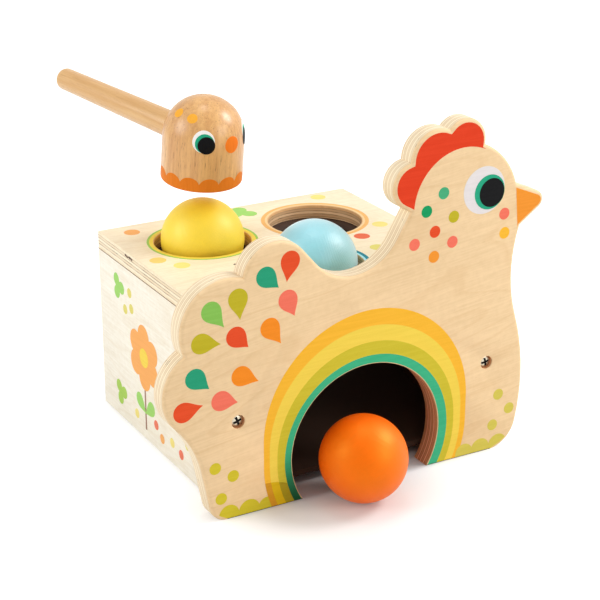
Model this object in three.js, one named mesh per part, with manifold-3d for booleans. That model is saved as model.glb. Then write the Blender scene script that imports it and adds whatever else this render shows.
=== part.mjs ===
// A wooden pounding toy. A plywood box stands behind a hen-shaped front panel. Rubber rings under the holes
// in its top hold a ball each until a hammer drives it through, and a ramp inside rolls it out of an arch.
// Millimetres, +Z up. X runs along the hen, from tail to beak, and Y from its printed face to the back.
import * as THREE from "three";
import { mergeVertices } from "three/addons/utils/BufferGeometryUtils.js";
import Module from "manifold-3d";

const wasm = await Module();
wasm.setup();
const radians = THREE.MathUtils.degToRad;

// Box
const boxWidth = 159;
const boxDepth = 148;
const boxHeight = 104.5;
const boardThickness = 10;

// Hen panel
const henThickness = 12;
const henEdgeRadius = 2;
const archRadius = 44.3;
const archCentreHeight = 23;

// Circles that the hen's outline runs round: x from the middle of the box, height, radius
const breast = { x: -23.4, z: 39, r: 122 };
const tailTop = { x: -52, z: 124.3, r: 18.8 };
const tailMiddle = { x: -79, z: 103, r: 26 };
const tailLow = { x: -91, z: 72, r: 24 };

// Circles of its head: distance back from the front of the breast, height, radius
const beakTip = { back: -3.2, z: 139.3, r: 5 };
const crown = { back: 44.8, z: 140.5, r: 36.8 };
const combFront = { back: 42.3, z: 176.8, r: 12.6 };
const combMiddle = { back: 58.6, z: 170.3, r: 16 };
const combBack = { back: 72.6, z: 158.4, r: 12.4 };

// Hollows and corners of the outline
const saddleBottom = 117.1;
const saddleNapeGap = 4;
const saddleTailRun = 12.4;
const throatRadius = 85.4;
const throatAngle = radians(17.6);
const hipRadius = 55;
const hipAngle = radians(-137);
const footSink = 1;
const leftFootRadius = 10;
const leftFootX = -80.8;
const rightFootRadius = 18;
const chinAngle = radians(163);
const browAngle = radians(15);
const napeAngle = radians(-97);
const napeDrop = 1.1;

// Balls and the holes that take them, on an equal-sided triangle with its point to the front
const ballDiameter = 46;
const ballRise = 0.9;
const holeClearance = 3.7;
const holeWeb = 17.6;

// Grip rings, and the plate that clamps them under the top
const ringThickness = 2;
const ringLip = 3;
const ringBallGap = 0.3;
const plateThickness = 3;
const plateHoleClearance = 1.5;
const plateWallGap = 0.5;

// Ramp and its cleats
const rampThickness = 3;
const rampSlope = radians(11);
const rampFrontHeight = 8.5;
const rampFrontGap = 2.5;
const rampWallGap = 0.5;
const cleatWidth = 8;
const cleatHeight = 8;
const cleatGroundGap = 1.2;
const glueGap = 0.05;

// Ball that has rolled out of the arch, from the middle of the arch and the hen's face
const rolledBallX = -10.6;
const rolledBallY = -14.5;

// Hammer, held over the rear left ball
const headDiameter = 44.2;
const headStraight = 24.7;
const headRimRadius = 1.5;
const handleHeight = 22.7;
const handleLength = 113.6;
const handleRootDiameter = 14.7;
const handleEndDiameter = 12.6;
const handleEndRadius = 4;
const socketDepth = 16;
const hammerHover = 12;
const hammerTurn = radians(16.7);
const hammerLift = radians(6.1);

// Dowels
const dowelDiameter = 6;
const dowelLength = 22;
const dowelChamfer = 0.6;
const topDowelDepth = 6;
const backDowelDepth = 7;
const topDowelsPerSide = 3;
const backDowelsPerSide = 2;
const fitGap = 0.3;

// Screws
const screwDiameter = 3.5;
const screwLength = 38;
const screwHeadDiameter = 6.4;
const screwHeadHeight = 2.2;
const screwHeadClearance = 0.4;
const screwSink = 2.1;
const screwHeight = 52.4;
const headRimShare = 0.33;
const headCrownShare = 0.9;
const recessSpan = 3.6;
const recessWidth = 0.9;
const recessDepth = 1.1;
const plateScrewDiameter = 2.5;
const plateScrewLength = 8;
const plateScrewHeadDiameter = 5;
const plateScrewHeadHeight = 1.5;
const plateScrewMargin = 8;

// Facets of round work
const holeSides = 40;
const archSides = 72;
const ballSides = 24;
const turnedSides = 36;
const pinSides = 12;
const edgeSteps = 2;
const domeSteps = 8;
const handleEndSteps = 4;
const outlineSag = 0.06;
const mergeDistance = 1e-4;

// Sizes that follow
const ballRadius = ballDiameter / 2;
const holeRadius = ballRadius + holeClearance;
const holePitch = 2 * holeRadius + holeWeb;
const headRadius = headDiameter / 2;
const ringRadius = holeRadius + ringLip;
const boxFront = henThickness;
const boxBack = boxFront + boxDepth;
const innerBack = boxBack - boardThickness;
const halfWidth = boxWidth / 2;
const innerHalfWidth = halfWidth - boardThickness;
const sideCentre = halfWidth - boardThickness / 2;
const sideHeight = boxHeight - boardThickness;
const ringTop = sideHeight + ringThickness;
const ballHeight = boxHeight + ballRise;
const triangleDepth = holePitch * Math.sin(Math.PI / 3);
const frontHoleY = boxFront + (boxDepth - triangleDepth) / 2;
const rearHoleY = frontHoleY + triangleDepth;
const holes = {
  yellow: { x: -holePitch / 2, y: rearHoleY },
  orange: { x: holePitch / 2, y: rearHoleY },
  blue: { x: 0, y: frontHoleY },
};

// Finishes
const finish = (color, roughness, metalness = 0) =>
  new THREE.MeshStandardMaterial({ color, roughness, metalness });
const plywood = finish(0xefd9b0, 0.55);
const paleWood = finish(0xf3e6cc, 0.6);
const beech = finish(0xd2a069, 0.5);
const handleBeech = finish(0xebc896, 0.5);
const hardboard = finish(0x3a2a20, 0.7);
const rubber = finish(0x3c2a1e, 0.85);
const steel = finish(0x8d8a85, 0.35, 1);
const yellowPaint = finish(0xfcd83c, 0.4);
const bluePaint = finish(0x91dee4, 0.4);
const orangePaint = finish(0xf06900, 0.4);

const toy = new THREE.Group();

function place(name, geometry, material, x = 0, y = 0, z = 0, parent = toy) {
  const mesh = new THREE.Mesh(geometry, material);
  mesh.name = name;
  mesh.position.set(x, y, z);
  parent.add(mesh);
}

// A closed geometry as a solid that can be cut, and the cut solid as a geometry
function solid(geometry) {
  const bare = geometry.clone();
  bare.deleteAttribute("normal");
  bare.deleteAttribute("uv");
  const merged = mergeVertices(bare, mergeDistance);
  const vertProperties = merged.attributes.position.array;
  const triVerts = new Uint32Array(merged.index.array);
  return new wasm.Manifold(new wasm.Mesh({ numProp: 3, vertProperties, triVerts }));
}

function geometryOf(body) {
  const mesh = body.getMesh();
  const geometry = new THREE.BufferGeometry();
  geometry.setAttribute("position", new THREE.BufferAttribute(new Float32Array(mesh.vertProperties), 3));
  geometry.setIndex(new THREE.BufferAttribute(new Uint32Array(mesh.triVerts), 1));
  return geometry;
}

function cut(geometry, ...tools) {
  return geometryOf(tools.reduce((left, tool) => left.subtract(solid(tool)), solid(geometry)));
}

// Basic shapes: a block between two corners, a pin along Z, a profile of [radius, height] turned about Z,
// and a profile of [y, z] extruded along X
function block(from, to) {
  const size = to.map((value, i) => value - from[i]);
  const middle = to.map((value, i) => (value + from[i]) / 2);
  return new THREE.BoxGeometry(...size).translate(...middle);
}

function pin(diameter, length, sides = pinSides) {
  return new THREE.CylinderGeometry(diameter / 2, diameter / 2, length, sides).rotateX(Math.PI / 2);
}

function turned(profile, sides) {
  const points = profile.map(([r, z]) => new THREE.Vector2(r, z));
  return new THREE.LatheGeometry(points, sides).rotateX(Math.PI / 2);
}

function acrossX(profile, fromX, width) {
  const shape = new THREE.Shape(profile.map(([y, z]) => new THREE.Vector2(y, z)));
  const turn = new THREE.Matrix4().set(0, 0, 1, fromX, 1, 0, 0, 0, 0, 1, 0, 0, 0, 0, 0, 1);
  return new THREE.ExtrudeGeometry(shape, { depth: width, bevelEnabled: false }).applyMatrix4(turn);
}

// A round stretch of a profile, between two angles
function roundStretch(centreR, centreZ, radius, from, to, steps) {
  return Array.from({ length: steps + 1 }, (_, i) => {
    const angle = from + ((to - from) * i) / steps;
    return [centreR + radius * Math.cos(angle), centreZ + radius * Math.sin(angle)];
  });
}

// Hen outline: a belt round circles, anticlockwise from the left foot as seen from the front. A lobe bulges
// out, a hollow bends in, and a corner is a point. Lobes that cross meet in a notch.
const lobe = (circle) => ({ ...circle, turn: 1 });
const hollow = (circle) => ({ ...circle, turn: -1 });
const corner = (point) => ({ ...point, r: 0, turn: 1 });

function onRim(circle, angle, reach = circle.r) {
  return { x: circle.x + reach * Math.cos(angle), z: circle.z + reach * Math.sin(angle) };
}

function hollowBeside(circle, angle, r) {
  return hollow({ ...onRim(circle, angle, circle.r + r), r });
}

const onHead = ({ back, z, r }) => lobe({ x: breast.x + breast.r - back, z, r });

// The hollow of the back, fitted between the nape and the tail's top lobe, with a short straight run
// down from that lobe
function saddleBetween(nape, tail) {
  const span = nape.x - saddleNapeGap - tail.x;
  const drop = tail.z - saddleBottom;
  const sum = span + drop + tail.r;
  const spare = span ** 2 + drop ** 2 - tail.r ** 2 - saddleTailRun ** 2;
  const r = sum - Math.sqrt(sum ** 2 - spare);
  return hollow({ x: nape.x - saddleNapeGap - r, z: saddleBottom + r, r });
}

function henCircles() {
  const leftFoot = { x: leftFootX, z: leftFootRadius - footSink, r: leftFootRadius };
  const rightFootHeight = rightFootRadius - footSink;
  const rightFootReach = Math.sqrt((breast.r - rightFootRadius) ** 2 - (breast.z - rightFootHeight) ** 2);
  const rightFoot = { x: breast.x + rightFootReach, z: rightFootHeight, r: rightFootRadius };
  const throat = hollowBeside(breast, throatAngle, throatRadius);
  const chin = corner(onRim(throat, chinAngle));
  const brow = corner(onRim(onHead(crown), browAngle));
  const nape = corner(onRim(onHead(combBack), napeAngle, combBack.r + napeDrop));
  const saddle = saddleBetween(nape, tailTop);
  const hip = hollowBeside(tailLow, hipAngle, hipRadius);
  const front = [lobe(leftFoot), lobe(rightFoot), lobe(breast), throat, chin, onHead(beakTip), brow];
  const head = [onHead(crown), onHead(combFront), onHead(combMiddle), onHead(combBack), nape];
  const back = [saddle, lobe(tailTop), lobe(tailMiddle), lobe(tailLow), hip];
  return [...front, ...head, ...back];
}

// Where the belt leaves circle a and where it reaches circle b
function joinOf(a, b) {
  const start = new THREE.Vector2(a.x, a.z);
  const end = new THREE.Vector2(b.x, b.z);
  const distance = start.distanceTo(end);
  const along = end.clone().sub(start).divideScalar(distance);
  const left = new THREE.Vector2(-along.y, along.x);
  const lobes = Math.min(a.turn * a.r, b.turn * b.r) > 0;
  const inside = distance < Math.abs(a.r - b.r) + outlineSag;
  if (lobes && !inside && distance < a.r + b.r) {
    const reach = (a.r ** 2 - b.r ** 2 + distance ** 2) / (2 * distance);
    const depth = Math.sqrt(a.r ** 2 - reach ** 2);
    const notch = start.clone().addScaledVector(along, reach).addScaledVector(left, -depth);
    return [notch, notch];
  }
  const lean = THREE.MathUtils.clamp((b.turn * b.r - a.turn * a.r) / distance, -1, 1);
  const normal = left.multiplyScalar(Math.sqrt(1 - lean ** 2)).addScaledVector(along, lean);
  return [start.addScaledVector(normal, -a.turn * a.r), end.addScaledVector(normal, -b.turn * b.r)];
}

function henOutline() {
  const circles = henCircles();
  const joins = circles.map((circle, i) => joinOf(circle, circles[(i + 1) % circles.length]));
  const points = circles.flatMap((circle, i) => {
    const arrive = joins.at(i - 1)[1];
    const leave = joins[i][0];
    if (circle.r === 0) return [arrive];
    const from = Math.atan2(arrive.y - circle.z, arrive.x - circle.x);
    const to = Math.atan2(leave.y - circle.z, leave.x - circle.x);
    const fullTurn = 2 * Math.PI;
    const sweep = (((to - from) * circle.turn) % fullTurn + fullTurn) % fullTurn;
    const steps = Math.max(1, Math.ceil(sweep / (2 * Math.acos(1 - outlineSag / circle.r))));
    const stretch = roundStretch(circle.x, circle.z, circle.r, from, from + circle.turn * sweep, steps);
    return stretch.map(([x, z]) => new THREE.Vector2(x, z));
  });
  return points.filter((point, i) => point.distanceTo(points.at(i - 1)) > 2 * outlineSag);
}

// Holes along the three axes, as tools for cutting
const holeDown = (x, y, diameter, bottom, top, sides) =>
  pin(diameter, top - bottom, sides).translate(x, y, (top + bottom) / 2);
const holeBack = (x, z, diameter, front, back, sides) =>
  pin(diameter, back - front, sides).rotateX(Math.PI / 2).translate(x, (front + back) / 2, z);
const holeAcross = (y, z, diameter, left, right) =>
  pin(diameter, right - left).rotateY(Math.PI / 2).translate((left + right) / 2, y, z);

// Dowel and screw places
const evenly = (count, start, length) =>
  Array.from({ length: count }, (_, i) => start + (length * (i + 0.5)) / count);
const topDowels = [-1, 1].flatMap((side) =>
  evenly(topDowelsPerSide, boxFront, boxDepth).map((y) => ({ side, x: side * sideCentre, y })));
const backDowels = [-1, 1].flatMap((side) =>
  evenly(backDowelsPerSide, 0, sideHeight).map((z) => ({ side, z })));
const backDowelY = innerBack + boardThickness / 2;
const backDowelTip = innerHalfWidth + backDowelDepth;
const screwX = innerHalfWidth - plateScrewMargin;
const plateScrews = [
  { x: -screwX, y: boxFront + plateScrewMargin },
  { x: screwX, y: boxFront + plateScrewMargin },
  { x: -screwX, y: (frontHoleY + rearHoleY) / 2 },
  { x: screwX, y: (frontHoleY + rearHoleY) / 2 },
  { x: 0, y: frontHoleY + holePitch / Math.sqrt(3) },
  { x: 0, y: innerBack - plateScrewMargin },
];
const dowelHole = dowelDiameter + 2 * fitGap;
const screwHole = screwDiameter + 2 * fitGap;
const screwBore = screwHeadDiameter + 2 * screwHeadClearance;
const screwSeatDepth = screwSink + screwHeadHeight;
const plateScrewHole = plateScrewDiameter + 2 * fitGap;

function buildHenPanel() {
  const blank = new THREE.ExtrudeGeometry(new THREE.Shape(henOutline()), {
    depth: henThickness - 2 * henEdgeRadius,
    bevelSize: henEdgeRadius,
    bevelOffset: -henEdgeRadius,
    bevelThickness: henEdgeRadius,
    bevelSegments: edgeSteps,
  });
  blank.rotateX(Math.PI / 2).translate(0, henThickness - henEdgeRadius, 0);
  const reach = 2 * (archRadius + boxWidth);
  const ground = block([-reach, -henThickness, -reach], [reach, 2 * henThickness, 0]);
  const arch = holeBack(0, archCentreHeight, 2 * archRadius, -henThickness, 2 * henThickness, archSides);
  const screwHoles = [-1, 1].map((side) =>
    holeBack(side * sideCentre, screwHeight, screwHole, -henThickness, 2 * henThickness));
  const screwBores = [-1, 1].map((side) =>
    holeBack(side * sideCentre, screwHeight, screwBore, -henThickness, screwSeatDepth));
  place("hen_front_panel", cut(blank, ground, arch, ...screwHoles, ...screwBores), plywood);
}

function buildSidePanels() {
  const screwEnd = screwSeatDepth + screwLength + fitGap;
  for (const [side, name] of [[-1, "left_side_panel"], [1, "right_side_panel"]]) {
    const [inner, outer] = [side * innerHalfWidth, side * halfWidth].sort((a, b) => a - b);
    const board = block([inner, boxFront, 0], [outer, boxBack, sideHeight]);
    const dowelBottom = sideHeight + topDowelDepth - dowelLength - fitGap;
    const topHoles = topDowels.filter((dowel) => dowel.side === side).map(({ x, y }) =>
      holeDown(x, y, dowelHole, dowelBottom, boxHeight));
    const [tip, mouth] = [side * (backDowelTip + fitGap), 0].sort((a, b) => a - b);
    const backHoles = backDowels.filter((dowel) => dowel.side === side).map(({ z }) =>
      holeAcross(backDowelY, z, dowelHole, tip, mouth));
    const screwSeat = holeBack(side * sideCentre, screwHeight, screwHole, 0, screwEnd);
    place(name, cut(board, ...topHoles, ...backHoles, screwSeat), paleWood);
  }
}

function buildBackPanel() {
  const board = block([-innerHalfWidth, innerBack, 0], [innerHalfWidth, boxBack, sideHeight]);
  const sockets = backDowels.map(({ side, z }) => {
    const ends = [side * (backDowelTip - dowelLength - fitGap), side * halfWidth].sort((a, b) => a - b);
    return holeAcross(backDowelY, z, dowelHole, ...ends);
  });
  place("back_panel", cut(board, ...sockets), paleWood);
}

function buildTopBoard() {
  const board = block([-halfWidth, boxFront, sideHeight], [halfWidth, boxBack, boxHeight]);
  const through = Object.values(holes).map(({ x, y }) =>
    holeDown(x, y, 2 * holeRadius, 0, 2 * boxHeight, holeSides));
  const rabbets = Object.values(holes).map(({ x, y }) =>
    holeDown(x, y, 2 * ringRadius, 0, ringTop, holeSides));
  const dowelTop = sideHeight + topDowelDepth + fitGap;
  const sockets = topDowels.map(({ x, y }) => holeDown(x, y, dowelHole, 0, dowelTop));
  const screwTop = sideHeight - plateThickness + plateScrewLength + fitGap;
  const pilots = plateScrews.map(({ x, y }) => holeDown(x, y, plateScrewHole, 0, screwTop));
  place("top_board", cut(board, ...through, ...rabbets, ...sockets, ...pilots), plywood);
}

// A ring lies in the rabbet under its hole, and its sloped inner edge follows the ball
function buildGripRings() {
  const innerAt = (z) => Math.sqrt(ballRadius ** 2 - (ballHeight - z) ** 2) + ringBallGap;
  const outer = ringRadius - fitGap;
  const [low, high] = [innerAt(sideHeight), innerAt(ringTop)];
  const profile = [[low, 0], [outer, 0], [outer, ringThickness], [high, ringThickness], [low, 0]];
  for (const [colour, { x, y }] of Object.entries(holes)) {
    place(`grip_ring_${colour}`, turned(profile, holeSides), rubber, x, y, sideHeight);
  }
}

function buildRingPlate() {
  const reachX = innerHalfWidth - plateWallGap;
  const lowCorner = [-reachX, boxFront + plateWallGap, sideHeight - plateThickness];
  const board = block(lowCorner, [reachX, innerBack - plateWallGap, sideHeight]);
  const opening = ballDiameter + 2 * plateHoleClearance;
  const openings = Object.values(holes).map(({ x, y }) =>
    holeDown(x, y, opening, 0, boxHeight, turnedSides));
  const screwHoles = plateScrews.map(({ x, y }) => holeDown(x, y, plateScrewHole, 0, boxHeight));
  place("ring_plate", cut(board, ...openings, ...screwHoles), hardboard);
}

function buildRamp() {
  const front = boxFront + rampFrontGap;
  const back = innerBack - rampWallGap;
  const topAt = (y) => rampFrontHeight + (y - front) * Math.tan(rampSlope);
  const underAt = (y) => topAt(y) - rampThickness / Math.cos(rampSlope);
  const reachX = innerHalfWidth - rampWallGap;
  const board = [[front, underAt(front)], [back, underAt(back)], [back, topAt(back)], [front, topAt(front)]];
  place("ramp_board", acrossX(board, -reachX, 2 * reachX), hardboard);
  const cleatTop = (y) => underAt(y) - glueGap;
  const climb = cleatGroundGap + cleatHeight - cleatTop(front);
  const start = front + Math.max(0, climb / Math.tan(rampSlope));
  const strip = [
    [start, cleatTop(start) - cleatHeight],
    [back, cleatTop(back) - cleatHeight],
    [back, cleatTop(back)],
    [start, cleatTop(start)],
  ];
  place("ramp_cleat_left", acrossX(strip, -innerHalfWidth, cleatWidth), paleWood);
  place("ramp_cleat_right", acrossX(strip, innerHalfWidth - cleatWidth, cleatWidth), paleWood);
}

function buildBalls() {
  const ball = new THREE.SphereGeometry(ballRadius, ballSides, ballSides / 2).rotateX(Math.PI / 2);
  place("yellow_ball", ball, yellowPaint, holes.yellow.x, holes.yellow.y, ballHeight);
  place("blue_ball", ball, bluePaint, holes.blue.x, holes.blue.y, ballHeight);
  place("orange_ball", ball, orangePaint, rolledBallX, rolledBallY, ballRadius);
}

// The head stands on its striking face with its axis on Z, and the handle leaves it along Y
function buildHammer() {
  const hammer = new THREE.Group();
  hammer.position.set(holes.yellow.x, holes.yellow.y, ballHeight + ballRadius + hammerHover);
  hammer.rotation.set(hammerLift, 0, hammerTurn, "ZXY");
  toy.add(hammer);
  const rimCentre = headRadius - headRimRadius;
  const rim = roundStretch(rimCentre, headRimRadius, headRimRadius, -Math.PI / 2, 0, edgeSteps);
  const dome = roundStretch(0, headStraight, headRadius, 0, Math.PI / 2, domeSteps).slice(0, -1);
  const headProfile = [[0, 0], ...rim, ...dome, [0, headStraight + headRadius]];
  const socketFloor = headRadius - socketDepth;
  const socketWidth = handleRootDiameter + 2 * fitGap;
  const socket = holeBack(0, handleHeight, socketWidth, socketFloor, 2 * headRadius, ballSides);
  place("hammer_head", cut(turned(headProfile, turnedSides), socket), beech, 0, 0, 0, hammer);
  const [rootRadius, endRadius] = [handleRootDiameter / 2, handleEndDiameter / 2];
  const shoulder = handleLength - handleEndRadius;
  const endFlat = endRadius - handleEndRadius;
  const end = roundStretch(endFlat, shoulder, handleEndRadius, 0, Math.PI / 2, handleEndSteps);
  const rodProfile = [[0, 0], [rootRadius, 0], [rootRadius, socketDepth], ...end, [0, handleLength]];
  const rod = turned(rodProfile, ballSides).rotateX(-Math.PI / 2);
  place("hammer_handle", rod, handleBeech, 0, socketFloor + fitGap, handleHeight, hammer);
}

function buildDowels() {
  const [body, neck] = [dowelDiameter / 2, dowelDiameter / 2 - dowelChamfer];
  const shoulder = dowelLength - dowelChamfer;
  const lowEnd = [[0, 0], [neck, 0], [body, dowelChamfer]];
  const highEnd = [[body, shoulder], [neck, dowelLength], [0, dowelLength]];
  const upright = turned([...lowEnd, ...highEnd], pinSides);
  const level = upright.clone().rotateY(Math.PI / 2);
  topDowels.forEach(({ x, y }, i) =>
    place(`top_dowel_${i + 1}`, upright, paleWood, x, y, sideHeight + topDowelDepth - dowelLength));
  backDowels.forEach(({ side, z }, i) => {
    const left = side < 0 ? -backDowelTip : backDowelTip - dowelLength;
    place(`back_dowel_${i + 1}`, level, paleWood, left, backDowelY, z);
  });
}

// A cross-recess screw with its head's underside at height 0 and its point down
function screw(diameter, length, headDiameter, headHeight, sides) {
  const [body, head] = [diameter / 2, headDiameter / 2];
  const shank = [[0, -length], [body, -length + diameter], [body, 0]];
  const rim = [[head, 0], [head, headHeight * headRimShare]];
  const crownLine = [[head / 2, headHeight * headCrownShare], [0, headHeight]];
  const blank = turned([...shank, ...rim, ...crownLine], sides);
  const [span, width] = [recessSpan / 2, recessWidth / 2];
  const floor = headHeight - recessDepth;
  const slot = block([-span, -width, floor], [span, width, length]);
  return cut(blank, slot, slot.clone().rotateZ(Math.PI / 2));
}

function buildScrews() {
  const front = screw(screwDiameter, screwLength, screwHeadDiameter, screwHeadHeight, ballSides);
  front.rotateX(Math.PI / 2);
  place("front_screw_left", front, steel, -sideCentre, screwSeatDepth, screwHeight);
  place("front_screw_right", front, steel, sideCentre, screwSeatDepth, screwHeight);
  const plateHead = [plateScrewHeadDiameter, plateScrewHeadHeight];
  const under = screw(plateScrewDiameter, plateScrewLength, ...plateHead, pinSides);
  under.rotateX(Math.PI);
  plateScrews.forEach(({ x, y }, i) =>
    place(`plate_screw_${i + 1}`, under, steel, x, y, sideHeight - plateThickness));
}

buildHenPanel();
buildSidePanels();
buildBackPanel();
buildTopBoard();
buildGripRings();
buildRingPlate();
buildRamp();
buildBalls();
buildHammer();
buildDowels();
buildScrews();

// The part's origin is at the middle of the ground under everything
const bounds = new THREE.Box3().setFromObject(toy, true);
const middle = bounds.getCenter(new THREE.Vector3());
toy.position.set(-middle.x, -middle.y, -bounds.min.z);
const part = new THREE.Group();
part.add(toy);
export default part;
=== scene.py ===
"""Dresses the wooden pounding toy in metres, in the frame's own axes."""
import math

import bmesh
import bpy
from mathutils import Euler, Matrix, Vector


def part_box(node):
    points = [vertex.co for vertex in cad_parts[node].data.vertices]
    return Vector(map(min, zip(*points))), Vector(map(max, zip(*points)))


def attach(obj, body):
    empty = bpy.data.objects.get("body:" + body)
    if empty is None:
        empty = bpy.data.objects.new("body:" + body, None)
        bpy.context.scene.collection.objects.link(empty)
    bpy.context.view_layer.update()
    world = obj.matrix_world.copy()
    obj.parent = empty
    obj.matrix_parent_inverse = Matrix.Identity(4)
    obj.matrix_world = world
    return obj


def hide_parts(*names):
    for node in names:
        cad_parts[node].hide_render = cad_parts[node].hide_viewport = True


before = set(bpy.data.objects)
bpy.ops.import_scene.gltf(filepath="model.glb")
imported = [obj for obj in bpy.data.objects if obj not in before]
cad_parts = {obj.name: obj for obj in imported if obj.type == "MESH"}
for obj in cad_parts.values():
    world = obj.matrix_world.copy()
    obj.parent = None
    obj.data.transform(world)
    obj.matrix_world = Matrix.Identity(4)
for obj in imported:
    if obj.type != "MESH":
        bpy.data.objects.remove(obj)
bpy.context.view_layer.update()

# Places from the frame
MM = 0.001
HEN_LOW, HEN_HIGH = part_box("hen_front_panel")
TOP_LOW, TOP_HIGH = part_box("top_board")
SIDE_LOW, SIDE_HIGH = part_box("left_side_panel")
MIDDLE_X = (TOP_LOW.x + TOP_HIGH.x) / 2
FACE_Y = HEN_LOW.y
BALL_RADIUS = (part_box("yellow_ball")[1].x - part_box("yellow_ball")[0].x) / 2


def at(x, y, z):
    """A point in millimetres from the box's mid-plane, the hen's printed face and the ground."""
    return Vector((MIDDLE_X + x * MM, FACE_Y + y * MM, z * MM))


def centre_of(node):
    low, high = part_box(node)
    return (low + high) / 2


SCREW_PLACES = (centre_of("front_screw_left"), centre_of("front_screw_right"))
RING_NODES = ("grip_ring_yellow", "grip_ring_orange", "grip_ring_blue")
RING_PLACES = [centre_of(node) for node in RING_NODES]

# Metres within which points are one point or lie in one plane
MERGE = 1e-7
TOUCH = 1e-6

# Sizes in millimetres
HEN_EDGE_ROUND = 2.0
ARCH_CENTRE_HEIGHT = 23.0
ARCH_RADIUS = 44.3
ARCH_EDGE_ROUND = 0.5
GROUND_EDGE_ROUND = 0.4
BOARD_EDGE_ROUND = 0.5
WALL_EDGE_ROUND = 0.3
HOLE_RADIUS = 26.7
RABBET_RADIUS = 29.7
RING_THICKNESS = 2.0
HEN_THICKNESS = (HEN_HIGH.y - HEN_LOW.y) / MM
BOARD_THICKNESS = (TOP_HIGH.z - TOP_LOW.z) / MM
HEN_PLY = 1.4
BOARD_PLY = 1.75
FILM = 0.05
FILM_SINK = 0.03
HEAD_RADIUS = 22.1
HEAD_STRAIGHT = 24.7
HEAD_RIM_ROUND = 1.5
HANDLE_HEIGHT = 22.7
HANDLE_LENGTH = 113.6
HANDLE_ROOT_RADIUS = 7.35
HANDLE_END_RADIUS = 6.3
HANDLE_END_ROUND = 4.0
SOCKET_DEPTH = 16.0
SOCKET_FLOOR = HEAD_RADIUS - SOCKET_DEPTH
FIT_GAP = 0.3
HAMMER_HOVER = 12.0
HAMMER_TURN = math.radians(16.7)
HAMMER_LIFT = math.radians(6.1)
SCREW_LENGTH = 38.0
SCREW_RADIUS = 1.75
SCREW_HEAD_RADIUS = 3.4
SCREW_HEAD_HEIGHT = 3.2
SCREW_BORE_RADIUS = 3.6
SCREW_SEAT_DEPTH = 4.3
SCREW_HOLE_RADIUS = 2.05
BORE_EDGE_ROUND = 0.4

# Colours as they look in daylight, red, green, blue from 0 to 255
INKS = {
    "red": (232, 62, 26),
    "tomato": (236, 78, 36),
    "coral": (250, 118, 94),
    "orange": (252, 142, 30),
    "light_orange": (252, 176, 96),
    "amber": (255, 190, 50),
    "yellow": (250, 217, 80),
    "olive": (198, 182, 36),
    "olive_band": (212, 196, 50),
    "grass": (216, 198, 46),
    "pale_grass": (220, 204, 86),
    "moss": (170, 208, 88),
    "amber_foot": (222, 154, 34),
    "yellow_foot": (228, 188, 18),
    "olive_foot": (176, 154, 26),
    # Painted shadow of the orange ball on the foot of the green band
    "green_foot": (26, 84, 44),
    "light_green": (138, 198, 86),
    "leaf_green": (162, 216, 108),
    "green": (60, 184, 134),
    "mid_green": (72, 176, 124),
    "dark_green": (10, 156, 92),
    "teal_green": (36, 160, 118),
    "teal": (14, 134, 148),
    "pale_cyan": (176, 232, 238),
    "beak_orange": (249, 152, 46),
    "eye_white": (236, 229, 228),
    "iris": (36, 168, 128),
    "pupil": (2, 2, 4),
    "stem_brown": (160, 120, 100),
    "band_orange": (230, 124, 28),
    "bright_white": (252, 250, 246),
    # Painted shade of the groove where the top board meets the side walls
    "joint_brown": (150, 112, 78),
    "spot_orange": (242, 122, 28),
    "freckle": (252, 178, 58),
    "pale_yellow": (247, 228, 132),
    "pale_olive": (230, 218, 118),
    "pale_orange": (248, 176, 100),
    "pale_amber": (250, 210, 114),
    "pale_coral": (238, 122, 92),
    "ember": (232, 106, 68),
    "ring_green": (162, 206, 88),
    "ring_yellow": (247, 218, 78),
    "ring_orange": (245, 186, 108),
    "ring_cream": (250, 212, 154),
    "knot_brown": (78, 48, 34),
    # Painted contact shadow along the hen's bottom edge
    "ground_brown": (74, 52, 30),
}


def linear(colour):
    """A daylight colour as the linear values that a shader takes."""
    def channel(value):
        value /= 255
        return value / 12.92 if value <= 0.04045 else ((value + 0.055) / 1.055) ** 2.4
    return (*map(channel, colour), 1.0)


# Shader expressions
GRAIN_ROUGHNESS = 0.6


class Value:
    """A node's output. Arithmetic on it adds Math nodes."""

    def __init__(self, nodes, socket):
        self.nodes = nodes
        self.socket = socket

    def math(self, operation, *others):
        return self.nodes.math(operation, self, *others)

    def __add__(self, other):
        return self.math("ADD", other)

    def __sub__(self, other):
        return self.math("SUBTRACT", other)

    def __rsub__(self, other):
        return self.nodes.math("SUBTRACT", other, self)

    def __mul__(self, other):
        return self.math("MULTIPLY", other)

    def __truediv__(self, other):
        return self.math("DIVIDE", other)

    def __pow__(self, other):
        return self.math("POWER", other)

    def __gt__(self, other):
        return self.math("GREATER_THAN", other)

    __radd__ = __add__
    __rmul__ = __mul__


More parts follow.
